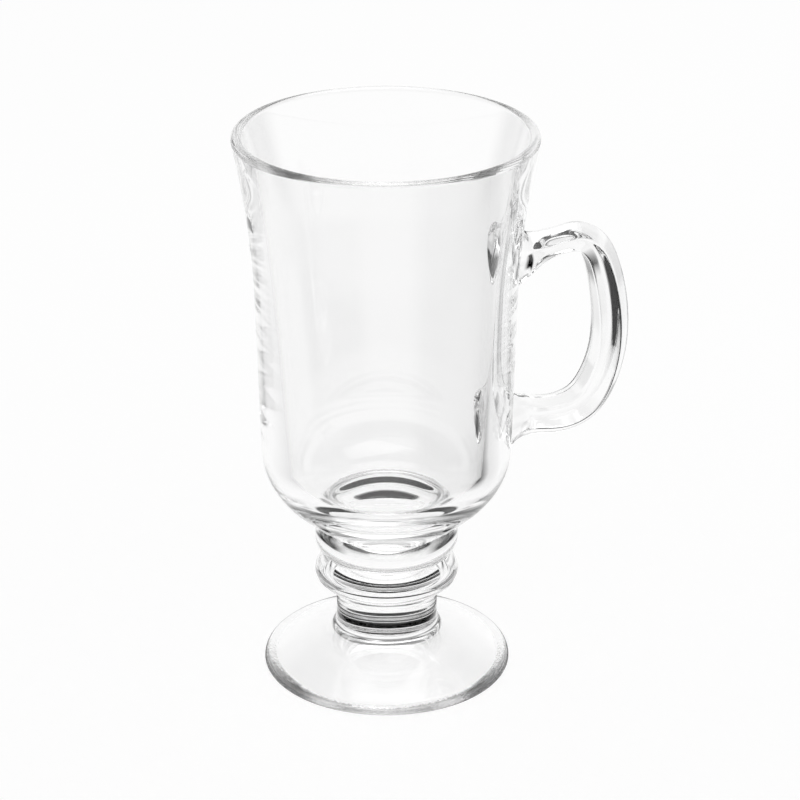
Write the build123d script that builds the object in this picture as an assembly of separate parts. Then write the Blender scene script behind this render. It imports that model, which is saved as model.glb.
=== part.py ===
from build123d import *
import os
from math import cos, pi, radians, sin, sqrt, tan

# A footed glass mug for hot coffee, pressed in clear glass. Its axis is the Z axis, its foot rests on Z = 0,
# and its handle points along +X. It is made as six pieces of glass that are joined hot, one on the other:
# foot, neck, lower knop, upper knop, bowl and handle. All lengths are in millimetres.

# The whole mug
mug_height = 150.0
rim_radius = 39.15
rim_round = 1.4  # half the thickness of the rounded lip

# The foot: a sloping disc that stands on a ring and is hollowed underneath
foot_radius = 33.1
foot_widest_height = 1.1  # the edge is widest here, and rounded below
foot_edge_round = 2.7
foot_slope = 24.0  # degrees above the table
foot_neck_fillet = 3.0
foot_ring_width = 3.2
foot_hollow_depth = 6.0

# The neck, a plain round stem
neck_radius = 13.5
neck_length = 9.1

# The lower knop, an oval bead
lower_knop_radius = 19.2
lower_knop_height = 9.75
lower_knop_widest_rise = 4.95  # above its seat on the neck
lower_knop_half_width = 13.3  # of the oval section
lower_knop_half_height = 6.0

# The upper knop, a rounder bead that carries the bowl
upper_knop_radius = 19.1
upper_knop_height = 8.95
upper_knop_widest_rise = 5.25  # above the valley between the knops
upper_knop_round = 5.3
knop_steps = 8  # points that carry each bead's curve

# The bowl, outside: a round shoulder, a nearly straight wall and a flared lip
shoulder_rise = 22.7  # above the bowl's seat on the upper knop
shoulder_radius = 33.0
shoulder_lean = 38.0  # degrees above level, where the bowl leaves the knop
flare_rise = 64.7  # above the seat
wall_lean = 1.4  # degrees off upright
lip_lean = 11.6

# The bowl, inside: a thick floor, a round corner, a wall that opens upwards and a flared lip
floor_thickness = 9.7  # above the seat
floor_corner = 12.0
cavity_radius = 26.3  # at the height of the shoulder
cavity_lean = 4.0
cavity_lip_lean = 15.9

# The handle: a rounded bar, bent round the fingers, that spreads where it joins the bowl
handle_base_rise = 26.2  # lowest point of the bar's centre line, above the bowl's seat
handle_rise = 50.3  # from the lowest to the highest point of the centre line
handle_reach = 27.7  # furthest point of the centre line, out from the shoulder's radius
handle_width = 12.0
handle_thickness = 10.2

# The bar's stations, from inside the bowl's wall above, round the fingers, and back into the wall below.
# Each holds the place of its centre, out from the shoulder and up, as shares of the handle's reach and rise,
# then its breadth as a share of the handle's width, and how far it goes from its centre line to the outer
# side and to the fingers' side, as shares of the handle's thickness.
station_shares = [
    (-0.13, 0.945, 1.33, 0.66, 0.98),
    (0.05, 0.950, 1.22, 0.60, 0.95),
    (0.18, 0.960, 1.01, 0.43, 0.62),
    (0.33, 0.978, 1.00, 0.35, 0.37),
    (0.49, 0.998, 1.00, 0.34, 0.33),
    (0.65, 1.000, 1.00, 0.37, 0.35),
    (0.79, 0.952, 1.00, 0.41, 0.40),
    (0.90, 0.833, 1.00, 0.45, 0.44),
    (0.97, 0.676, 1.00, 0.47, 0.47),
    (1.00, 0.527, 1.00, 0.48, 0.48),
    (0.995, 0.388, 1.00, 0.48, 0.48),
    (0.95, 0.258, 1.00, 0.49, 0.49),
    (0.87, 0.145, 1.00, 0.51, 0.51),
    (0.75, 0.058, 1.00, 0.52, 0.52),
    (0.59, 0.012, 1.00, 0.52, 0.52),
    (0.40, 0.000, 1.00, 0.51, 0.50),
    (0.21, 0.010, 1.00, 0.58, 0.50),
    (0.04, 0.026, 1.19, 0.88, 0.52),
    (-0.13, 0.030, 1.30, 0.94, 0.55),
]
tail_pinch_share = 0.35  # how much the spreading ends narrow towards their lower tips

# The plain bar has a flat towards the fingers, two sides that spread outwards, and two slopes that close to a
# blunt outer ridge. Breadths are shares of the bar's half breadth, depths are shares of its depth on that side.
fingers_flat_breadth_share = 0.75
fingers_flat_depth_share = 0.85
widest_depth_share = 0.30
ridge_breadth_share = 0.02
ridge_depth_share = 1.05
flats_sharpness = 24  # how sharply the flats meet
oval_from_spread = 0.5  # the bar is a plain oval where it has spread by this share of its whole spread
section_points = 40

joined_share = 0.00001  # of the mug's height: curves whose ends are closer than this already join

# Places that follow from the sizes above
slope = radians(foot_slope)
edge_centre_radius = foot_radius - foot_edge_round
edge_top_radius = edge_centre_radius + foot_edge_round * sin(slope)
edge_top_height = foot_widest_height + foot_edge_round * cos(slope)
fillet_centre_radius = neck_radius + foot_neck_fillet
fillet_run = edge_top_radius - fillet_centre_radius
neck_seat = edge_top_height + fillet_run * tan(slope) + foot_neck_fillet / cos(slope)
lower_knop_seat = neck_seat + neck_length
valley_height = lower_knop_seat + lower_knop_height
bowl_seat = valley_height + upper_knop_height
shoulder_height = bowl_seat + shoulder_rise
flare_height = bowl_seat + flare_rise
floor_height = bowl_seat + floor_thickness
rim_height = mug_height - rim_round
rim_centre_radius = rim_radius - rim_round


def at(radius, height):
    """A point of a half outline, which lies in the XZ plane."""
    return Vector(radius, 0, height)


def heading(angle):
    """The unit vector in the XZ plane at an angle above level, in degrees."""
    return at(cos(radians(angle)), sin(radians(angle)))


def arc(centre, radius, start, end):
    """A circular arc about a centre in the XZ plane, between two angles above level in degrees."""
    through = [centre + heading(angle) * radius for angle in (start, (start + end) / 2, end)]
    return ThreePointArc(*through)


def turned(curves):
    """The solid that a half outline makes when it turns about the mug's axis.

    The curves run one after the other, and a straight line closes each gap between their ends.
    """
    edges = []
    for curve, following in zip(curves, curves[1:] + curves[:1]):
        edges.append(curve)
        if (following @ 0 - curve @ 1).length > mug_height * joined_share:
            edges.append(Line(curve @ 1, following @ 0))
    return revolve(make_face(Wire(edges)), Axis.Z)


def make_foot():
    """A disc with a rounded edge and a sloping top that curves up into the neck."""
    ring_outer = foot_radius - foot_widest_height
    ring_inner = ring_outer - foot_ring_width
    hollow = Spline(
        at(0, foot_hollow_depth), at(ring_inner, 0), tangents=[heading(0), heading(-foot_slope)]
    )
    lower_edge = arc(at(ring_outer, foot_widest_height), foot_widest_height, -90, 0)
    upper_edge = arc(at(edge_centre_radius, foot_widest_height), foot_edge_round, 0, 90 - foot_slope)
    fillet = arc(at(fillet_centre_radius, neck_seat), foot_neck_fillet, 270 - foot_slope, 180)
    top = Line(at(neck_radius, neck_seat), at(0, neck_seat))
    return turned([hollow, lower_edge, upper_edge, fillet, top])


def make_neck():
    """A plain round stem between the foot and the lower knop."""
    base = Line(at(0, neck_seat), at(neck_radius, neck_seat))
    top = Line(at(neck_radius, lower_knop_seat), at(0, lower_knop_seat))
    return turned([base, top])


def lower_knop_radius_at(rise):
    """Radius of the oval lower knop at a height above its seat on the neck."""
    level = (rise - lower_knop_widest_rise) / lower_knop_half_height
    return lower_knop_radius - lower_knop_half_width * (1 - sqrt(1 - level**2))


def upper_knop_radius_at(rise):
    """Radius of the round upper knop at a height above the valley between the knops."""
    from_widest = rise - upper_knop_widest_rise
    return upper_knop_radius - upper_knop_round + sqrt(upper_knop_round**2 - from_widest**2)


def bead(seat, height, radius_at):
    """A knop: a bead whose radius follows a rule of the height, between two flat seats."""
    rises = [height * (1 - cos(pi * step / knop_steps)) / 2 for step in range(knop_steps + 1)]
    bulge = Spline(*[at(radius_at(rise), seat + rise) for rise in rises])
    return turned([Line(at(0, seat), bulge @ 0), bulge, Line(bulge @ 1, at(0, seat + height))])


def bowl_outside():
    """The curves of the bowl's outer half outline, from the middle of its seat up to its lip."""
    seat = at(upper_knop_radius_at(upper_knop_height), bowl_seat)
    shoulder = at(shoulder_radius, shoulder_height)
    flare = at(shoulder_radius + (flare_rise - shoulder_rise) * tan(radians(wall_lean)), flare_height)
    lip = at(rim_centre_radius, rim_height) + heading(-lip_lean) * rim_round
    return [
        Line(at(0, bowl_seat), seat),
        Spline(seat, shoulder, tangents=[heading(shoulder_lean), heading(90 - wall_lean)]),
        Spline(flare, lip, tangents=[heading(90 - wall_lean), heading(90 - lip_lean)]),
    ]


def make_bowl():
    """The bowl: the outer form with its cavity, closed by a rounded lip."""
    lip = arc(at(rim_centre_radius, rim_height), rim_round, -lip_lean, 180 - cavity_lip_lean)
    corner_height = floor_height + floor_corner
    flare = at(cavity_radius + (flare_rise - shoulder_rise) * tan(radians(cavity_lean)), flare_height)
    down_the_flare = [heading(270 - cavity_lip_lean), heading(270 - cavity_lean)]
    inner_flare = Spline(lip @ 1, flare, tangents=down_the_flare)
    wall_foot = corner_height - floor_corner * sin(radians(cavity_lean))
    wall_foot_radius = cavity_radius + (wall_foot - shoulder_height) * tan(radians(cavity_lean))
    corner_radius = wall_foot_radius - floor_corner * cos(radians(cavity_lean))
    corner = arc(at(corner_radius, corner_height), floor_corner, -cavity_lean, -90)
    floor = Line(corner @ 1, at(0, floor_height))
    return turned(bowl_outside() + [lip, inner_flare, corner, floor])


def bowl_blank():
    """The bowl's outer form without its cavity, and the space above it, which the handle's ends are cut to."""
    outside = bowl_outside()
    lip = outside[-1] @ 1
    above = rim_height + handle_thickness
    return turned(outside + [Line(lip, at(lip.X, above)), Line(at(lip.X, above), at(0, above))])


def station_centre(station):
    """The centre of a station of the bar, in the XZ plane."""
    out_share, up_share = station[:2]
    return at(
        shoulder_radius + out_share * handle_reach,
        bowl_seat + handle_base_rise + up_share * handle_rise,
    )


def bar_flats():
    """The plain bar's flats, each as its outward direction over its distance from the centre line."""
    corners = [
        Vector(0, -fingers_flat_depth_share),
        Vector(fingers_flat_breadth_share, -fingers_flat_depth_share),
        Vector(1, widest_depth_share),
        Vector(ridge_breadth_share, ridge_depth_share),
        Vector(0, ridge_depth_share),
    ]
    flats = []
    for start, end in zip(corners, corners[1:]):
        out = Vector(end.Y - start.Y, start.X - end.X)
        out = out / out.dot(start)
        flats.append((out.X, out.Y))
        if start.X and end.X:
            flats.append((-out.X, out.Y))
    return flats


def section_swell(turn, spread):
    """How far the bar's outline lies from its centre line, as a share of a plain oval's.

    Each flat counts by how far the direction leans towards it, in a high power, so the flats meet softly.
    """
    lean = 0
    for across, out in bar_flats():
        lean += max(across * cos(turn) + out * sin(turn), 0) ** flats_sharpness
    flatness = max(1 - spread / oval_from_spread, 0)
    return 1 + flatness * (lean ** (-1 / flats_sharpness) - 1)


def station_outline(centre, along, station):
    """The closed outline of the bar across its centre line.

    It is an oval with two depths and one breadth, swelled to the plain bar's flats where the bar doesn't
    spread. Where it spreads, its deeper side is drawn to a narrower tip.
    """
    breadth_share, outer_share, inner_share = station[2:]
    half_breadth = breadth_share * handle_width / 2
    outward = at(-along.Z, along.X)
    spread = max(breadth_share - 1, 0) / (station_shares[0][2] - 1)
    points = []
    for step in range(section_points):
        turn = 2 * pi * step / section_points
        swell = section_swell(turn, spread)
        depth_share = outer_share if sin(turn) > 0 else inner_share
        longer = depth_share == max(outer_share, inner_share)
        pinch = tail_pinch_share * spread * sin(turn) ** 2 if longer else 0
        across = Vector(0, half_breadth * cos(turn) * swell * (1 - pinch), 0)
        points.append(centre + outward * depth_share * handle_thickness * sin(turn) * swell + across)
    return Wire([Spline(*points, periodic=True)])


def make_handle():
    """The bar, lofted through its stations, with both ends cut to the bowl's wall."""
    centres = [station_centre(station) for station in station_shares]
    outlines = []
    for index, station in enumerate(station_shares):
        before = centres[max(index - 1, 0)]
        after = centres[min(index + 1, len(centres) - 1)]
        outlines.append(station_outline(centres[index], (after - before).normalized(), station))
    return Solid.make_loft(outlines) - bowl_blank()


parts = {
    "foot": make_foot(),
    "neck": make_neck(),
    "lower_knop": bead(lower_knop_seat, lower_knop_height, lower_knop_radius_at),
    "upper_knop": bead(valley_height, upper_knop_height, upper_knop_radius_at),
    "bowl": make_bowl(),
    "handle": make_handle(),
}

os.makedirs("parts", exist_ok=True)
for name, solid in parts.items():
    export_step(solid, f"parts/{name}.step")
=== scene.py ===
"""Looks for a footed glass mug with a looped side handle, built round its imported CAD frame.

Lengths are in metres. The mug's axis is Z, it stands on Z = 0, and its handle points along +X.
"""

from math import cos, pi, radians, sin, sqrt, tan

import bpy
import numpy as np
from mathutils import Matrix, Vector


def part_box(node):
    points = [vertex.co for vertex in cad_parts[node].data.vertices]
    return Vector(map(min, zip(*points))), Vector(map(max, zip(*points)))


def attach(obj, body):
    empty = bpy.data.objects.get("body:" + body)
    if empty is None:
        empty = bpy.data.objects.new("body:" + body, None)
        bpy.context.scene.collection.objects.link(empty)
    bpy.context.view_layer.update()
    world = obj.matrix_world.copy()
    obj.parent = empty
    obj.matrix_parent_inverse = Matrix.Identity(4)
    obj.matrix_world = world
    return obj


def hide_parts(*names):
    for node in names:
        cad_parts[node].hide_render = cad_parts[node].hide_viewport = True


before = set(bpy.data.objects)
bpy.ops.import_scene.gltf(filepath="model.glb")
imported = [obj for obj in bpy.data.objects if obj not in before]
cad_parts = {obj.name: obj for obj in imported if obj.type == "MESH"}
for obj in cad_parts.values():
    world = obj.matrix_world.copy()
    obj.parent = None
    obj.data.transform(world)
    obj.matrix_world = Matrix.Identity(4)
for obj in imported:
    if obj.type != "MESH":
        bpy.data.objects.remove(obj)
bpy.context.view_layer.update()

bl_info = {
    "name": "Footed glass mug",
    "version": (1, 0, 0),
    "blender": (4, 2, 0),
    "location": "3D View > Sidebar > Mug",
    "description": "Clear glass mug on a beaded stem, with its handle, floor and light",
    "category": "Add Mesh",
}

BODY = "root"
BLOCK = 28  # cells on each side of the square block of the bowl's grid that a root of the handle takes
TURNS = 280  # cells round the mug
ROOT_RINGS = 10  # rings of cells between a root and the edge of its block
SEAT_RINGS = 6  # rings of cells across the joint under a root
BAR_ROWS = 300  # cells along the handle's bar
BAR_TRIALS = 2000  # places along the bar where its distance from the bowl's wall is tried
BLOCK_MARGIN = 0.2  # room above and below a root in its block, as a share of the root's height
FLOOR_HALF = 6.0  # half the side of the scene's floor, in metres
FLOOR_DROP = 0.00005  # the floor's depth under the resting ring, in metres
BOUNCES = 200  # how often a light ray may turn in the glass before it's dropped
DOT_SCALE = 2400.0  # dots per metre on the resting ring
DOT_HEIGHT = 0.0002  # height of the dots, and of the part of the foot that has them, in metres

# The bar's stations, from inside the bowl's wall above, round the fingers, and back into the wall below:
# the centre's place out from the shoulder and up, as shares of the handle's reach and rise, the breadth as a
# share of the handle's width, and the depths to the outer side and to the fingers' side as shares of its
# thickness.
STATIONS = np.array(
    [
        (-0.13, 0.945, 1.33, 0.66, 0.98),
        (0.05, 0.950, 1.22, 0.60, 0.95),
        (0.18, 0.960, 1.01, 0.43, 0.62),
        (0.33, 0.978, 1.00, 0.35, 0.37),
        (0.49, 0.998, 1.00, 0.34, 0.33),
        (0.65, 1.000, 1.00, 0.37, 0.35),
        (0.79, 0.952, 1.00, 0.41, 0.40),
        (0.90, 0.833, 1.00, 0.45, 0.44),
        (0.97, 0.676, 1.00, 0.47, 0.47),
        (1.00, 0.527, 1.00, 0.48, 0.48),
        (0.995, 0.388, 1.00, 0.48, 0.48),
        (0.95, 0.258, 1.00, 0.49, 0.49),
        (0.87, 0.145, 1.00, 0.51, 0.51),
        (0.75, 0.058, 1.00, 0.52, 0.52),
        (0.59, 0.012, 1.00, 0.52, 0.52),
        (0.40, 0.000, 1.00, 0.51, 0.50),
        (0.21, 0.010, 1.00, 0.58, 0.50),
        (0.04, 0.026, 1.19, 0.88, 0.52),
        (-0.13, 0.030, 1.30, 0.94, 0.55),
    ]
)


def length(name, description, default):
    return bpy.props.FloatProperty(
        name=name, description=description, default=default, unit="LENGTH", precision=5
    )


def degrees(name, description, default):
    return bpy.props.FloatProperty(
        name=name, description=description, default=radians(default), subtype="ANGLE", unit="ROTATION"
    )


def share(name, description, default):
    return bpy.props.FloatProperty(name=name, description=description, default=default)


class MugSizes(bpy.types.PropertyGroup):
    """Sizes of the mug."""

    height: length("Height", "Table to the lip's top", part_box("bowl")[1].z)
    rim_radius: length("Rim radius", "Outside of the lip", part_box("bowl")[1].y)
    rim_round: length("Lip round", "Half the lip's thickness", 0.0014)
    foot_radius: length("Foot radius", "Widest part of the foot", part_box("foot")[1].y)
    foot_widest: length("Foot's widest height", "Height where the foot is widest", 0.0011)
    foot_round: length("Foot edge round", "Radius of the foot's edge above", 0.0027)
    foot_slope: degrees("Foot slope", "Slope of the foot's top", 24.0)
    fillet: length("Fillet", "Curve between foot and neck", 0.0030)
    ring_width: length("Resting ring", "Width of the ring that the foot stands on", 0.0032)
    hollow: length("Hollow", "Depth of the hollow under the foot", 0.0060)
    neck_radius: length("Neck radius", "Radius of the plain stem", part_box("neck")[1].y)
    lower_knop: length("Lower knop radius", "Widest part of the oval bead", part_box("lower_knop")[1].y)
    lower_widest: length("Lower knop's widest rise", "Above its seat on the neck", 0.00495)
    lower_half_width: length("Lower knop half width", "Of the oval section", 0.0133)
    lower_half_height: length("Lower knop half height", "Of the oval section", 0.0060)
    upper_knop: length("Upper knop radius", "Widest part of the round bead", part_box("upper_knop")[1].y)
    upper_widest: length("Upper knop's widest rise", "Above the valley between the knops", 0.00525)
    upper_round: length("Upper knop round", "Radius of the bead's section", 0.0053)
    shoulder_radius: length("Shoulder radius", "Where the round shoulder meets the wall", 0.0330)
    shoulder_rise: length("Shoulder rise", "Above the bowl's seat", 0.0227)
    shoulder_lean: degrees("Shoulder lean", "Above level, where the bowl leaves its knop", 38.0)
    wall_lean: degrees("Wall lean", "Off upright, outside", 1.4)
    flare_rise: length("Flare rise", "Where the lip's flare begins, above the seat", 0.0647)
    lip_lean: degrees("Lip lean", "Off upright at the lip, outside", 11.6)
    floor_thickness: length("Floor thickness", "Glass between the seat and the cavity", 0.0097)
    floor_corner: length("Cavity corner", "Radius between the cavity's floor and wall", 0.0120)
    cavity_radius: length("Cavity radius", "At the height of the shoulder", 0.0263)
    cavity_lean: degrees("Cavity lean", "Off upright, inside", 4.0)
    cavity_lip_lean: degrees("Cavity lip lean", "Off upright at the lip, inside", 15.9)
    handle_base: length("Handle base", "Lowest point of the bar's centre line above the bowl's seat", 0.0262)
    handle_rise: length("Handle rise", "Lowest to highest point of the centre line", 0.0503)
    handle_reach: length("Handle reach", "Furthest point of the centre line from the shoulder", 0.0277)
    handle_width: length("Handle width", "Breadth of the bar", 0.0120)
    handle_thickness: length("Handle thickness", "Depth of the bar", 0.0102)
    tail_pinch: share("Tail pinch", "How much the bar's ends narrow towards their tips", 0.35)
    inner_breadth: share("Inner side's breadth", "Of the fingers' flat, as a share of the width", 0.75)
    inner_depth: share("Inner side's depth", "From the centre line to the fingers' flat, as a share", 0.85)
    widest_depth: share("Widest line's depth", "From the centre line, as a share", 0.30)
    ridge_breadth: share("Ridge breadth", "Breadth of the blunt outer ridge, as a share of the width", 0.02)
    ridge_depth: share("Ridge depth", "From the centre line to the outer ridge, as a share", 1.0495)
    sharpness: share("Sharpness", "How sharply the bar's flats meet", 24.0)


class MugGlass(bpy.types.PropertyGroup):
    """Colour and finish of the glass."""

    tint: bpy.props.FloatVectorProperty(
        name="Tint", description="Colour of the glass", default=(0.995, 0.995, 0.995), subtype="COLOR", size=3
    )
    ior: share("Refraction", "Refractive index of the glass", 1.52)
    stipple: share("Stipple", "Strength of the fine dots on the resting ring", 0.15)


class MugStage(bpy.types.PropertyGroup):
    """Camera, floor and light."""

    lens: bpy.props.FloatProperty(name="Lens", description="Focal length", default=129.375, unit="CAMERA")
    distance: length("Distance", "Camera from the mug's axis, along the floor", 0.6886)
    camera_height: length("Camera height", "Above the floor", 0.3814)
    pitch: degrees("Pitch", "Camera's tilt below level", 23.9038)
    yaw: degrees("Yaw", "Camera's turn off the axis", 0.29794)
    handle_turn: degrees("Handle turn", "How far the handle points away from the camera", 13.0)


def heading(angle):
    """The unit vector of a half outline at an angle above level, in radians."""
    return np.array([cos(angle), sin(angle)])


def line(start, end, count):
    """Points evenly spaced on a straight line."""
    step = np.linspace(0, 1, count)[:, None]
    return np.asarray(start) * (1 - step) + np.asarray(end) * step


def arc(centre, radius, start, end, count):
    """Points on a circle: the centre plus the radius times the cosine and sine of even angles, in radians."""
    angle = np.linspace(start, end, count)
    return np.asarray(centre) + radius * np.stack([np.cos(angle), np.sin(angle)], 1)


def bend(start, end, leaving, arriving, count, pull=1.0):
    """Points on a cubic that leaves the start and reaches the end at given angles, both pulled by the chord's
    length."""
    start, end = np.asarray(start), np.asarray(end)
    reach = pull * np.linalg.norm(end - start)
    t = np.linspace(0, 1, count)[:, None]
    return (
        start * (1 - t) ** 2 * (1 + 2 * t)
        + end * t**2 * (3 - 2 * t)
        + reach * heading(leaving) * t * (1 - t) ** 2
        - reach * heading(arriving) * t**2 * (1 - t)
    )


def joined(*curves):
    """One row of points from several curves, with doubled points left out."""
    points = np.concatenate(curves)
    step = np.linalg.norm(np.diff(points, axis=0), axis=1)
    return points[np.concatenate([[True], step > 1e-7])]


def facing(outline):
    """Normals of a half outline with the glass on its left: each point's direction, turned to the right."""
    along = np.gradient(outline, axis=0)
    along /= np.linalg.norm(along, axis=1)[:, None]
    return np.stack([along[:, 1], -along[:, 0]], 1)


def spun(outline, normals):
    """Rings of points and normals: each point of the outline turned about Z in even steps."""
    angle = np.arange(TURNS) * 2 * pi / TURNS
    c, s = np.cos(angle), np.sin(angle)
    points, out = (
        np.stack([pairs[:, :1] * c, pairs[:, :1] * s, np.repeat(pairs[:, 1:], TURNS, 1)], 2)
        for pairs in (outline, normals)
    )
    return points.reshape(-1, 3), out.reshape(-1, 3)


def band(first, second):
    """Four-sided faces between two closed rings of vertex numbers."""
    return np.stack([first, np.roll(first, -1, -1), np.roll(second, -1, -1), second], -1).reshape(-1, 4)


def fan(centre, ring):
    """Three-sided faces from a centre to a closed ring of vertex numbers."""
    return np.stack([np.full(ring.shape, centre), ring, np.roll(ring, -1)], -1)


def turned(faces, over):
    """The same faces, turned over where that is asked for."""
    return faces[:, ::-1] if over else faces


class Shape:
    """Points, normals and faces of a mesh in the making. Faces of the joints go to the second material."""

    def __init__(self):
        self.points, self.normals, self.faces = [], [], []
        self.count = 0

    def add(self, points, normals):
        """Adds vertices and returns their numbers."""
        points = np.atleast_2d(points)
        normals = np.broadcast_to(normals, points.shape)
        self.points.append(points)
        self.normals.append(normals)
        self.count += len(points)
        return np.arange(self.count - len(points), self.count)

    def face(self, corners, joint=False):
        """Adds faces by rows of vertex numbers."""
        self.faces.append((corners, joint))

    def made(self, name, materials):
        """The finished mesh object, smooth, with normals from the formulas."""
        points, normals = np.concatenate(self.points), np.concatenate(self.normals)
        sides = np.concatenate([np.full(len(f), f.shape[1]) for f, _ in self.faces])
        loops = np.concatenate([f.ravel() for f, _ in self.faces])
        slots = np.concatenate([np.full(len(f), int(joint)) for f, joint in self.faces])
        mesh = bpy.data.meshes.new(name)
        mesh.vertices.add(len(points))
        mesh.vertices.foreach_set("co", points.ravel())
        mesh.loops.add(len(loops))
        mesh.loops.foreach_set("vertex_index", loops.astype(np.int32))
        mesh.polygons.add(len(sides))
        mesh.polygons.foreach_set("loop_start", np.concatenate([[0], np.cumsum(sides)[:-1]]).astype(np.int32))
        mesh.polygons.foreach_set("material_index", slots.astype(np.int32))
        mesh.polygons.foreach_set("use_smooth", np.ones(len(sides), bool))
        for material in materials:
            mesh.materials.append(material)
        mesh.update(calc_edges=True)
        if mesh.validate():
            raise RuntimeError(f"{name} has faulty faces")
        mesh.normals_split_custom_set_from_vertices(normals.tolist())
        piece = bpy.data.objects.new(name, mesh)
        bpy.context.collection.objects.link(piece)
        return piece


def lathe(name, outline, seat_below, seat_above, materials):
    """A closed piece turned about Z: rings of the outline, closed at both ends by a flat seat or a pole."""
    shape = Shape()
    rings = shape.add(*spun(outline, facing(outline))).reshape(-1, TURNS)
    shape.face(band(rings[:-1], rings[1:]))
    below = shape.add([0, 0, outline[0, 1]], [0, 0, -1])[0]
    above = shape.add([0, 0, outline[-1, 1]], [0, 0, 1])[0]
    shape.face(turned(fan(below, rings[0]), True), joint=seat_below)
    shape.face(fan(above, rings[-1]), joint=seat_above)
    return shape.made(name, materials)


class Levels:
    """Heights where the pieces meet, worked out from the sizes."""

    def __init__(self, s):
        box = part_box
        self.neck = box("neck")[0].z
        self.lower_knop = box("lower_knop")[0].z
        self.valley = box("upper_knop")[0].z
        self.bowl = box("bowl")[0].z
        self.shoulder = self.bowl + s.shoulder_rise
        self.flare = self.bowl + s.flare_rise
        self.floor = self.bowl + s.floor_thickness


def foot_outline(s, z):
    """Half outline of the foot from under its middle: the hollow, the resting ring, the round edge, the slope
    and the fillet."""
    ring_outer = s.foot_radius - s.foot_widest
    ring_inner = ring_outer - s.ring_width
    hollow = bend([0, s.hollow], [ring_inner, 0], 0, -s.foot_slope, 60)[1:]
    ring = line([ring_inner, 0], [ring_outer, 0], 12)
    below = arc([ring_outer, s.foot_widest], s.foot_widest, -pi / 2, 0, 16)
    edge_centre = s.foot_radius - s.foot_round
    edge = arc([edge_centre, s.foot_widest], s.foot_round, 0, pi / 2 - s.foot_slope, 20)
    fillet = arc([s.neck_radius + s.fillet, z.neck], s.fillet, 3 * pi / 2 - s.foot_slope, pi, 24)
    slope = line(edge[-1], fillet[0], 40)
    return joined(hollow, ring, below, edge, slope, fillet)


def neck_outline(s, z):
    """Half outline of the neck: an upright line."""
    return line([s.neck_radius, z.neck], [s.neck_radius, z.lower_knop], 16)


def eased_rise(height, count):
    """Heights from zero that crowd towards both ends: half the height times one minus a cosine."""
    return height * (1 - np.cos(np.linspace(0, pi, count))) / 2


def lower_knop_outline(s, z):
    """Half outline of the oval bead: its radius falls off from the widest as an ellipse does."""
    rise = eased_rise(z.valley - z.lower_knop, 60)
    level = (rise - s.lower_widest) / s.lower_half_height
    radius = s.lower_knop - s.lower_half_width * (1 - np.sqrt(1 - level**2))
    return np.stack([radius, z.lower_knop + rise], 1)


def upper_knop_outline(s, z):
    """Half outline of the round bead: a circle's arc."""
    rise = eased_rise(z.bowl - z.valley, 60)
    radius = s.upper_knop - s.upper_round + np.sqrt(s.upper_round**2 - (rise - s.upper_widest) ** 2)
    return np.stack([radius, z.valley + rise], 1)


def bowl_outside(s, z):
    """Half outline of the bowl's outside, from its seat over the shoulder and the wall to the flared lip."""
    rise = z.bowl - z.valley - s.upper_widest
    seat = [s.upper_knop - s.upper_round + sqrt(s.upper_round**2 - rise**2), z.bowl]
    shoulder = [s.shoulder_radius, z.shoulder]
    flare = [s.shoulder_radius + (z.flare - z.shoulder) * tan(s.wall_lean), z.flare]
    lip = np.array([s.rim_radius - s.rim_round, s.height - s.rim_round]) + heading(-s.lip_lean) * s.rim_round
    up, out = pi / 2 - s.wall_lean, pi / 2 - s.lip_lean
    return joined(
        bend(seat, shoulder, s.shoulder_lean, up, 200, 1.2),
        line(shoulder, flare, 200),
        bend(flare, lip, up, out, 200),
    )


def bowl_inside(s, z):
    """Half outline of the lip and the cavity, from the lip's outer edge to near the middle of the floor."""
    centre = [s.rim_radius - s.rim_round, s.height - s.rim_round]
    lip = arc(centre, s.rim_round, -s.lip_lean, pi - s.cavity_lip_lean, 28)
    flare = [s.cavity_radius + (z.flare - z.shoulder) * tan(s.cavity_lean), z.flare]
    down, straight = 3 * pi / 2 - s.cavity_lip_lean, 3 * pi / 2 - s.cavity_lean
    top = z.floor + s.floor_corner
    foot = top - s.floor_corner * sin(s.cavity_lean)
    foot_radius = s.cavity_radius + (foot - z.shoulder) * tan(s.cavity_lean)
    corner_radius = foot_radius - s.floor_corner * cos(s.cavity_lean)
    corner = arc([corner_radius, top], s.floor_corner, -s.cavity_lean, -pi / 2, 48)
    return joined(
        lip,
        bend(lip[-1], flare, down, straight, 60),
        line(flare, corner[0], 30),
        corner,
        line(corner[-1], [corner_radius / 40, z.floor], 15),
    )


def natural_spline(knots, values, at):
    """Smooth curves through rows of values: cubics whose second slope is continuous and is zero at both ends.

    The second slopes come from one set of linear equations, and the answer has the shape of at, then a column
    for each value.
    """
    gap = np.diff(knots)
    size = len(knots)
    system = np.eye(size)
    wanted = np.zeros_like(values)
    inner = np.arange(1, size - 1)
    system[inner, inner - 1] = gap[:-1]
    system[inner, inner] = 2 * (gap[:-1] + gap[1:])
    system[inner, inner + 1] = gap[1:]
    slope = np.diff(values, axis=0) / gap[:, None]
    wanted[inner] = 6 * np.diff(slope, axis=0)
    second = np.linalg.solve(system, wanted)
    k = np.clip(np.searchsorted(knots, at, side="right") - 1, 0, size - 2)
    h = gap[k][..., None]
    b = (at - knots[k])[..., None] / h
    a = 1 - b
    return (
        a * values[k]
        + b * values[k + 1]
        + ((a**3 - a) * second[k] + (b**3 - b) * second[k + 1]) * h**2 / 6
    )


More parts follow.
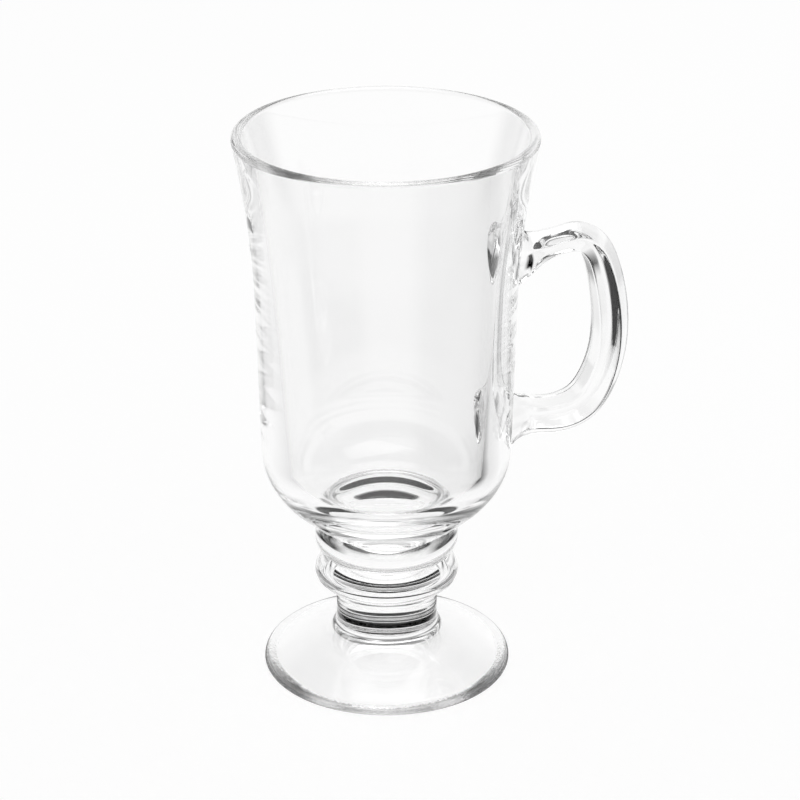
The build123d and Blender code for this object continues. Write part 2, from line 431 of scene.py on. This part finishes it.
def flats(s):
    """The bar's flats: for each, its outward direction over its distance from the centre line."""
    corners = np.array(
        [
            (0, -s.inner_depth),
            (s.inner_breadth, -s.inner_depth),
            (1, s.widest_depth),
            (s.ridge_breadth, s.ridge_depth),
            (0, s.ridge_depth),
        ]
    )
    run = np.diff(corners, axis=0)
    out = np.stack([run[:, 1], -run[:, 0]], 1)
    out /= (out * corners[:-1]).sum(1)[:, None]
    return np.concatenate([out, out[1:3] * [-1, 1]])


class Bar:
    """The handle's bar as a surface of two numbers: how far along it, and how far round it."""

    def __init__(self, s, z):
        self.s = s
        thickness = s.handle_thickness
        size = np.array([s.handle_reach, s.handle_rise, s.handle_width / 2, thickness, thickness])
        self.values = STATIONS * size + np.array([s.shoulder_radius, z.bowl + s.handle_base, 0, 0, 0])
        step = np.linalg.norm(np.diff(self.values[:, :2], axis=0), axis=1)
        self.knots = np.concatenate([[0], np.cumsum(step)])
        self.end = self.knots[-1]
        self.plain = s.handle_width / 2
        self.widest = self.values[0, 2]
        self.flats = flats(s)

    def points(self, along, turn):
        """Points of the bar: the centre, plus its outward direction times the depth and the sine of the turn,
        plus the breadth and the cosine across it, both times a swell.

        The swell is 1 at the oval roots. Along the plain bar it's one over a high-power mean of how far the
        turn's direction leans to each flat, which gives flats with soft corners. Where the bar spreads, its
        deeper side narrows by a share times the sine squared.
        """
        value = natural_spline(self.knots, self.values, along)
        small = self.end * 1e-4
        ahead = natural_spline(self.knots, self.values, np.minimum(along + small, self.end))
        behind = natural_spline(self.knots, self.values, np.maximum(along - small, 0))
        run = (ahead - behind)[..., :2]
        run /= np.linalg.norm(run, axis=-1, keepdims=True)
        breadth, outer, inner = value[..., 2], value[..., 3], value[..., 4]
        rising = np.sin(turn) > 0
        spread = np.clip((breadth - self.plain) / (self.widest - self.plain), 0, 1)
        power = self.s.sharpness
        leans = (across * np.cos(turn) + out * np.sin(turn) for across, out in self.flats)
        lean = sum(np.maximum(lean, 0) ** power for lean in leans)
        swell = 1 + np.clip(1 - 2 * spread, 0, 1) * (lean ** (-1 / power) - 1)
        depth = np.where(rising, outer, inner) * np.sin(turn) * swell
        longer = rising == (outer > inner)
        pinch = np.where(longer, self.s.tail_pinch * spread * np.sin(turn) ** 2, 0)
        return np.stack(
            [
                value[..., 0] - run[..., 1] * depth,
                breadth * np.cos(turn) * swell * (1 - pinch),
                value[..., 1] + run[..., 0] * depth,
            ],
            -1,
        )


def trimmed_bar(s, z):
    """Points of the bar between the places where it meets the bowl's wall.

    Along each line of the bar, that place is where its distance from the axis passes the wall's radius.
    """
    bar = Bar(s, z)
    wall = bowl_outside(s, z)
    turn = np.arange(4 * BLOCK) * 2 * pi / (4 * BLOCK)
    along = np.linspace(0, bar.end, BAR_TRIALS)[:, None] + 0 * turn
    points = bar.points(along, turn + 0 * along)
    outside = np.hypot(points[..., 0], points[..., 1]) - np.interp(points[..., 2], wall[:, 1], wall[:, 0])
    columns = np.arange(len(turn))

    def meeting(rows):
        """The place along the bar where it passes the wall between two neighbouring rows."""
        near, far = outside[rows, columns], outside[rows + 1, columns]
        return along[rows, columns] + (along[rows + 1, columns] - along[rows, columns]) * near / (near - far)

    half = len(along) // 2
    first = meeting(half - np.argmax(outside[half::-1] < 0, 0))
    last = meeting(half + np.argmax(outside[half:] < 0, 0) - 1)
    part = np.linspace(0, 1, BAR_ROWS + 1)[:, None]
    points = bar.points(first * (1 - part) + last * part, turn + 0 * part)
    for end in (points[0], points[-1]):
        scale = np.interp(end[:, 2], wall[:, 1], wall[:, 0]) / np.hypot(end[:, 0], end[:, 1])
        end[:, :2] *= scale[:, None]
    return points


def on_wall(wall, angle, height):
    """Points and normals of the bowl's wall at angles round the axis and heights."""
    radius = np.interp(height, wall[:, 1], wall[:, 0])
    out = facing(wall)
    lean = np.stack([np.interp(height, wall[:, 1], out[:, k]) for k in (0, 1)], -1)
    points = np.stack([radius * np.cos(angle), radius * np.sin(angle), height], -1)
    normals = np.stack([lean[..., 0] * np.cos(angle), lean[..., 0] * np.sin(angle), lean[..., 1]], -1)
    return points, normals


def root_seat(shape, wall, ring):
    """The joint under a root: rings drawn in from its outline to a middle point, all on the wall."""
    angle, height = np.arctan2(ring[:, 1], ring[:, 0]), ring[:, 2]
    middle = height.mean()
    keep = np.linspace(1, 0, SEAT_RINGS + 1)[1:-1, None]
    points, normals = on_wall(wall, angle * keep, middle + (height - middle) * keep)
    rings = shape.add(points.reshape(-1, 3), normals.reshape(-1, 3)).reshape(-1, len(ring))
    centre = shape.add(*on_wall(wall, np.array([0.0]), np.array([middle])))[0]
    return rings, centre


def block_edge():
    """Steps across and up to the edge of the square block, going round it from the middle of one side."""
    step = np.arange(4 * BLOCK)
    apart = np.minimum(step, 4 * BLOCK - step)
    across = np.clip(BLOCK - apart, -BLOCK // 2, BLOCK // 2)
    return across, np.roll(across, BLOCK)


def wall_heights(bottom, spans, top):
    """Heights of the wall's rings, with as many cells beside each root as its block has."""
    (low, low_end), (high, high_end) = spans
    runs = (
        (bottom, low, 48),
        (low, low_end, BLOCK),
        (low_end, high, 30),
        (high, high_end, BLOCK),
        (high_end, top, 30),
    )
    parts = [np.linspace(start, end, cells + 1)[:-1] for start, end, cells in runs]
    return np.concatenate(parts + [[top]])


def make_bowl(s, z, materials):
    """The bowl: rings of its outline. A square block of the wall's grid is changed for rings round each root
    of the handle, so that root and wall share their edge."""
    wall = bowl_outside(s, z)
    bar = trimmed_bar(s, z)
    roots = (bar[-1], bar[0])
    spans = []
    for ring in roots:
        low, high = ring[:, 2].min(), ring[:, 2].max()
        margin = (high - low) * BLOCK_MARGIN
        spans.append((low - margin, high + margin))
    heights = wall_heights(wall[0, 1], spans, wall[-1, 1])
    outer = np.stack([np.interp(heights, wall[:, 1], wall[:, 0]), heights], 1)
    inner = bowl_inside(s, z)
    outer_normals = np.stack([np.interp(heights, wall[:, 1], facing(wall)[:, k]) for k in (0, 1)], 1)
    inner_normals = facing(joined(wall[-2:], inner))[2:]
    shape = Shape()
    rings = spun(joined(outer, inner), np.concatenate([outer_normals, inner_normals]))
    grid = shape.add(*rings).reshape(-1, TURNS)
    cells = np.ones((len(grid) - 1, TURNS), bool)
    half = BLOCK // 2
    for ring, (low, _), lower in zip(roots, spans, (True, False)):
        start = int(np.argmin(abs(heights - low)))
        cells[start : start + BLOCK, np.arange(-half, half)] = False
        across, up = block_edge()
        rows = start + half + (-up if lower else up)
        edge = grid[rows, across % TURNS]
        near = np.linspace(1, 0, ROOT_RINGS + 1)[:-1, None]
        angle = np.arctan2(ring[:, 1], ring[:, 0]) * near + across * 2 * pi / TURNS * (1 - near)
        points, out = on_wall(wall, angle, ring[:, 2] * near + heights[rows] * (1 - near))
        rings = shape.add(points.reshape(-1, 3), out.reshape(-1, 3)).reshape(-1, len(ring))
        rings = np.concatenate([rings, edge[None]])
        shape.face(turned(band(rings[:-1], rings[1:]), not lower))
        seat, centre = root_seat(shape, wall, ring)
        nested = np.concatenate([rings[:1], seat])
        shape.face(turned(band(nested[:-1], nested[1:]), lower), joint=True)
        shape.face(turned(fan(centre, nested[-1]), lower), joint=True)
    quads = np.stack([grid[:-1], np.roll(grid, -1, 1)[:-1], np.roll(grid, -1, 1)[1:], grid[1:]], -1)
    shape.face(quads[cells])
    below = shape.add([0, 0, z.bowl], [0, 0, -1])[0]
    above = shape.add([0, 0, z.floor], [0, 0, 1])[0]
    shape.face(turned(fan(below, grid[0]), True), joint=True)
    shape.face(fan(above, grid[-1]))
    return shape.made("bowl_glass", materials)


def make_handle(s, z, materials):
    """The handle: the trimmed bar, closed at both roots by its side of the joint."""
    wall = bowl_outside(s, z)
    points = trimmed_bar(s, z)
    onwards = np.gradient(points, axis=0)
    around = (np.roll(points, -1, 1) - np.roll(points, 1, 1)) / 2
    normals = np.cross(around, onwards)
    normals /= np.linalg.norm(normals, axis=-1, keepdims=True)
    shape = Shape()
    grid = shape.add(points.reshape(-1, 3), normals.reshape(-1, 3)).reshape(-1, 4 * BLOCK)
    shape.face(band(grid[:-1], grid[1:]))
    for ring, numbers, lower in ((points[0], grid[0], False), (points[-1], grid[-1], True)):
        seat, centre = root_seat(shape, wall, ring)
        nested = np.concatenate([numbers[None], seat])
        shape.face(turned(band(nested[:-1], nested[1:]), lower), joint=True)
        shape.face(turned(fan(centre, nested[-1]), not lower), joint=True)
    return shape.made("handle_glass", materials)


class Value:
    """A socket that can be reckoned with in plain expressions, each of which adds a Math node."""

    def __init__(self, nodes, socket):
        self.nodes, self.socket = nodes, socket

    def reckon(self, operation, *others):
        return self.nodes.add("ShaderNodeMath", {"operation": operation}, (self, *others))

    def __add__(self, other):
        return self.reckon("ADD", other)

    __radd__ = __add__

    def __sub__(self, other):
        return self.reckon("SUBTRACT", other)

    def __rsub__(self, other):
        return self.nodes.add("ShaderNodeMath", {"operation": "SUBTRACT"}, (other, self))

    def __mul__(self, other):
        return self.reckon("MULTIPLY", other)

    __rmul__ = __mul__

    def __truediv__(self, other):
        return self.reckon("DIVIDE", other)

    def __pow__(self, other):
        return self.reckon("POWER", other)

    def below(self, limit):
        return self.reckon("LESS_THAN", limit)

    def most(self, other):
        return self.reckon("MAXIMUM", other)

    def clipped(self):
        return self.reckon("MINIMUM", 1.0).reckon("MAXIMUM", 0.0)


class Nodes:
    """The node tree of a material or a world."""

    def __init__(self, owner):
        owner.use_nodes = True
        self.tree = owner.node_tree
        self.tree.nodes.clear()

    def add(self, kind, settings=None, values=(), output=0):
        """Adds a node: first its settings, then a value or a link for each socket, by number or by name."""
        node = self.tree.nodes.new(kind)
        for name, value in (settings or {}).items():
            setattr(node, name, value)
        pairs = values.items() if isinstance(values, dict) else enumerate(values)
        for key, value in pairs:
            if isinstance(value, Value):
                self.tree.links.new(value.socket, node.inputs[key])
            else:
                node.inputs[key].default_value = value
        return Value(self, node.outputs[output])

    def split(self, place):
        """The three parts of a place or direction."""
        node = self.add("ShaderNodeSeparateXYZ", values=(place,)).socket.node
        return [Value(self, node.outputs[axis]) for axis in "XYZ"]

    def finish(self, kind, shader):
        """Adds the output node and feeds it the shader."""
        node = self.tree.nodes.new(kind)
        self.tree.links.new(shader.socket, node.inputs["Surface"])


def glass_material(name, glass, stippled=False):
    """Clear glass that lamps' shadows pass through. The stippled kind has fine dots on the resting ring."""
    material = bpy.data.materials.new(name)
    nodes = Nodes(material)
    settings = {
        "Base Color": (*glass.tint, 1.0),
        "Roughness": 0.0,
        "IOR": glass.ior,
        "Transmission Weight": 1.0,
    }
    if stippled and glass.stipple:
        place = nodes.add("ShaderNodeTexCoord", output="Object")
        ring = nodes.split(place)[2].below(DOT_HEIGHT)
        dots = nodes.add("ShaderNodeTexVoronoi", {}, {"Vector": place, "Scale": DOT_SCALE}, output="Distance")
        bumps = {"Strength": glass.stipple, "Distance": DOT_HEIGHT, "Height": dots * ring}
        settings["Normal"] = nodes.add("ShaderNodeBump", {}, bumps)
    shader = nodes.add("ShaderNodeBsdfPrincipled", {}, settings)
    clear = nodes.add("ShaderNodeBsdfTransparent")
    shadow = nodes.add("ShaderNodeLightPath", output="Is Shadow Ray")
    nodes.finish("ShaderNodeOutputMaterial", nodes.add("ShaderNodeMixShader", {}, (shadow, shader, clear)))
    return material


def joint_material():
    """The faces where two pieces of glass meet, which show nothing."""
    material = bpy.data.materials.new("glass_joint")
    nodes = Nodes(material)
    nodes.finish("ShaderNodeOutputMaterial", nodes.add("ShaderNodeBsdfPrincipled", {}, {"Alpha": 0.0}))
    return material


def materials_for(stippled=False):
    """The glass and the joint, made once and shared."""
    glass = bpy.context.scene.mug_glass
    name = "stippled_glass" if stippled else "polished_glass"
    first = bpy.data.materials.get(name) or glass_material(name, glass, stippled)
    return first, bpy.data.materials.get("glass_joint") or joint_material()


def placed(piece, node):
    """The piece rides on the mug's body and stands for its CAD node."""
    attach(piece, BODY)
    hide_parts(node)
    return {"FINISHED"}


class MUG_OT_foot(bpy.types.Operator):
    """Makes the sloping foot with its hollow and resting ring"""

    bl_idname = "mug.foot"
    bl_label = "Foot"

    def execute(self, context):
        s = context.scene.mug_sizes
        outline = foot_outline(s, Levels(s))
        return placed(lathe("foot_glass", outline, False, True, materials_for(stippled=True)), "foot")


class MUG_OT_neck(bpy.types.Operator):
    """Makes the plain neck"""

    bl_idname = "mug.neck"
    bl_label = "Neck"

    def execute(self, context):
        s = context.scene.mug_sizes
        return placed(lathe("neck_glass", neck_outline(s, Levels(s)), True, True, materials_for()), "neck")


class MUG_OT_lower_knop(bpy.types.Operator):
    """Makes the oval lower knop"""

    bl_idname = "mug.lower_knop"
    bl_label = "Lower knop"

    def execute(self, context):
        s = context.scene.mug_sizes
        outline = lower_knop_outline(s, Levels(s))
        return placed(lathe("lower_knop_glass", outline, True, True, materials_for()), "lower_knop")


class MUG_OT_upper_knop(bpy.types.Operator):
    """Makes the round upper knop"""

    bl_idname = "mug.upper_knop"
    bl_label = "Upper knop"

    def execute(self, context):
        s = context.scene.mug_sizes
        outline = upper_knop_outline(s, Levels(s))
        return placed(lathe("upper_knop_glass", outline, True, True, materials_for()), "upper_knop")


class MUG_OT_bowl(bpy.types.Operator):
    """Makes the bowl with its cavity and lip"""

    bl_idname = "mug.bowl"
    bl_label = "Bowl"

    def execute(self, context):
        s = context.scene.mug_sizes
        return placed(make_bowl(s, Levels(s), materials_for()), "bowl")


class MUG_OT_handle(bpy.types.Operator):
    """Makes the looped handle"""

    bl_idname = "mug.handle"
    bl_label = "Handle"

    def execute(self, context):
        s = context.scene.mug_sizes
        return placed(make_handle(s, Levels(s), materials_for()), "handle")


def between(value, *stations):
    """A level that runs straight from station to station, each a value and its level, and is even past both
    ends."""
    level = stations[0][1]
    for (start, low), (end, high) in zip(stations, stations[1:]):
        level = (high - low) * ((value - start) / (end - start)).clipped() + level
    return level


def headings(x, y, swing=0.0):
    """How far a point or direction is from the axis, and the share of its level heading that points away from
    the camera, or as far to the right of that as the swing says."""
    turn = bpy.context.scene.mug_stage.handle_turn + swing
    reach = (x * x + y * y + 1e-9) ** 0.5
    return reach, (x * sin(turn) + y * cos(turn)) / reach


def sheet_behind(ahead):
    """The level of the white sheet: white straight ahead, at the sides and near the camera, dark between."""
    return between(ahead, (0.2, 1.0), (0.5, 0.0), (0.85, 0.0), (0.93, 1.0))


def make_world():
    """The room that the glass shows: from the floor up, a sheet with dark gaps to the left and right of
    straight ahead, a white belt, walls that darken upwards and a white ceiling. The eye sees plain white, and
    what is matt gets grey light.

    The stations of the belt and above it are sines of the height above level.
    """
    world = bpy.data.worlds.new("studio")
    bpy.context.scene.world = world
    nodes = Nodes(world)
    path = nodes.add("ShaderNodeLightPath").socket.node
    kinds = ("Is Camera Ray", "Is Glossy Ray", "Is Transmission Ray")
    camera, glossy, through = (Value(nodes, path.outputs[kind]) for kind in kinds)
    x, y, up = nodes.split(nodes.add("ShaderNodeTexCoord", output="Generated"))
    ahead = headings(x, y)[1]
    walls = between(ahead, (-0.87, 0.0), (-0.34, 0.4), (0.3, 0.4), (0.6, 0.1), (0.75, 0.1), (0.9, 0.8))
    high = between(ahead, (0.7, 0.0), (0.9, 0.3))
    belt = (0.06, sheet_behind(ahead)), (0.16, 1.0), (0.30, 1.0), (0.42, walls)
    above = (0.50, walls), (0.64, high), (0.86, high), (0.92, 1.0)
    room, plain, white = (
        nodes.add("ShaderNodeBackground", {}, {"Color": colour, "Strength": 1.0})
        for colour in (between(up, *belt, *above), (0.6, 0.6, 0.6, 1), (1, 1, 1, 1))
    )
    both = nodes.add("ShaderNodeMixShader", {}, (glossy.most(through), plain, room))
    nodes.finish("ShaderNodeOutputWorld", nodes.add("ShaderNodeMixShader", {}, (camera, both, white)))


def painted_floor_shade(x, y):
    """How white the floor is to the glass, which sees painted shade on it: a painted contact shadow in a ring
    close round the foot, painted shade in a patch at the handle's side and toned near the camera, and further
    out as the sheet is.

    The stations of the ring, near and far are metres from the axis.
    """
    reach, ahead = headings(x, y)
    beside = headings(x, y, swing=radians(112))[1]
    # Painted shade a little way out: greyer towards the camera, and dark in a patch at the handle's side.
    middle = between(ahead, (-0.3, 0.6), (0.8, 1.0)) * between(beside, (0.65, 1.0), (0.85, 0.0))
    # Painted shade further out: greyer at the sides.
    outer = between(ahead, (-0.3, 1.0), (0.0, 0.6), (0.5, 0.6), (0.9, 1.0))
    # A painted contact shadow: the floor is dark to the glass in a ring just round the foot's edge.
    ring = (0.0318, 1.0), (0.0322, 0.0), (0.0435, 0.0), (0.0465, 1.0)
    near = (0.08, 1.0), (0.12, middle), (0.27, middle)
    far = (0.31, outer), (0.41, outer), (0.49, sheet_behind(ahead))
    return between(reach, *ring, *near, *far)


def make_floor():
    """A pale level floor that is white to the eye, mostly by its own glow, and still takes a shadow."""
    mesh = bpy.data.meshes.new("floor")
    corners = [(x * FLOOR_HALF, y * FLOOR_HALF, 0) for x, y in ((-1, -1), (1, -1), (1, 1), (-1, 1))]
    mesh.from_pydata(corners, [], [(0, 1, 2, 3)])
    floor = bpy.data.objects.new("floor", mesh)
    bpy.context.collection.objects.link(floor)
    floor.location.z = -FLOOR_DROP
    material = bpy.data.materials.new("pale_floor")
    nodes = Nodes(material)
    x, y, _ = nodes.split(nodes.add("ShaderNodeTexCoord", output="Object"))
    # Painted shade that only the glass sees: for every ray but the camera's, the floor's glow and grey are
    # both darkened by this level. The eye sees the floor white.
    level = painted_floor_shade(x, y)
    camera = nodes.add("ShaderNodeLightPath", output="Is Camera Ray")
    share = level + (1 - level) * camera
    paint = {
        "Base Color": 0.3 * share,
        "Roughness": 1.0,
        "Specular IOR Level": 0.0,
        "Emission Color": 0.75 * share,
        "Emission Strength": 1.0,
    }
    nodes.finish("ShaderNodeOutputMaterial", nodes.add("ShaderNodeBsdfPrincipled", {}, paint))
    mesh.materials.append(material)


def make_lamp(name, place, size, power):
    """A square soft lamp that points at the mug's middle."""
    data = bpy.data.lights.new(name, "AREA")
    data.shape, data.size, data.energy = "SQUARE", size, power
    lamp = bpy.data.objects.new(name, data)
    bpy.context.collection.objects.link(lamp)
    lamp.location = place
    middle = Vector((0, 0, bpy.context.scene.mug_sizes.height / 2))
    lamp.rotation_euler = (middle - Vector(place)).to_track_quat("-Z", "Y").to_euler()


def make_camera():
    """The camera at the photograph's place: out from the axis, above the floor and tilted down."""
    st = bpy.context.scene.mug_stage
    data = bpy.data.cameras.new("camera")
    data.lens, data.sensor_width = st.lens, 36.0
    data.clip_start, data.clip_end = 0.01, 50.0
    camera = bpy.data.objects.new("camera", data)
    bpy.context.collection.objects.link(camera)
    ahead = Vector((sin(st.yaw) * cos(st.pitch), cos(st.yaw) * cos(st.pitch), -sin(st.pitch)))
    right = Vector((cos(st.yaw), -sin(st.yaw), 0))
    above = right.cross(ahead)
    spin = Matrix.Rotation(-st.handle_turn, 4, "Z")
    turn = Matrix((right, above, -ahead)).transposed().to_4x4()
    camera.matrix_world = spin @ Matrix.Translation((0, -st.distance, st.camera_height)) @ turn
    bpy.context.scene.camera = camera


class MUG_OT_stage(bpy.types.Operator):
    """Makes the floor, the light and the camera"""

    bl_idname = "mug.stage"
    bl_label = "Stage"

    def execute(self, context):
        scene = context.scene
        scene.view_settings.view_transform = "Standard"
        rays = scene.cycles
        rays.max_bounces = rays.transmission_bounces = rays.glossy_bounces = BOUNCES
        rays.transparent_max_bounces = BOUNCES
        make_world()
        make_floor()
        make_lamp("top_lamp", place=(0.3, 0.2, 1.6), size=1.2, power=6.0)
        make_camera()
        return {"FINISHED"}


STEPS = (
    MUG_OT_foot,
    MUG_OT_neck,
    MUG_OT_lower_knop,
    MUG_OT_upper_knop,
    MUG_OT_bowl,
    MUG_OT_handle,
    MUG_OT_stage,
)


class MUG_PT_panel(bpy.types.Panel):
    """Lists the mug's sizes and its steps in the 3D view's sidebar"""

    bl_idname = "MUG_PT_panel"
    bl_label = "Glass mug"
    bl_space_type = "VIEW_3D"
    bl_region_type = "UI"
    bl_category = "Mug"

    def draw(self, context):
        scene = context.scene
        for group in (scene.mug_sizes, scene.mug_glass, scene.mug_stage):
            for name in group.bl_rna.properties.keys():
                if name not in ("rna_type", "name"):
                    self.layout.prop(group, name)
        for step in STEPS:
            self.layout.operator(step.bl_idname)


GROUPS = {"mug_sizes": MugSizes, "mug_glass": MugGlass, "mug_stage": MugStage}


def register():
    for group in GROUPS.values():
        bpy.utils.register_class(group)
    for cls in (*STEPS, MUG_PT_panel):
        bpy.utils.register_class(cls)
    for name, group in GROUPS.items():
        setattr(bpy.types.Scene, name, bpy.props.PointerProperty(type=group))


def unregister():
    for name in GROUPS:
        delattr(bpy.types.Scene, name)
    for cls in (MUG_PT_panel, *reversed(STEPS), *GROUPS.values()):
        bpy.utils.unregister_class(cls)


def main():
    register()
    for step in STEPS:
        getattr(bpy.ops.mug, step.bl_idname.split(".")[1])()


if __name__ == "__main__":
    main()
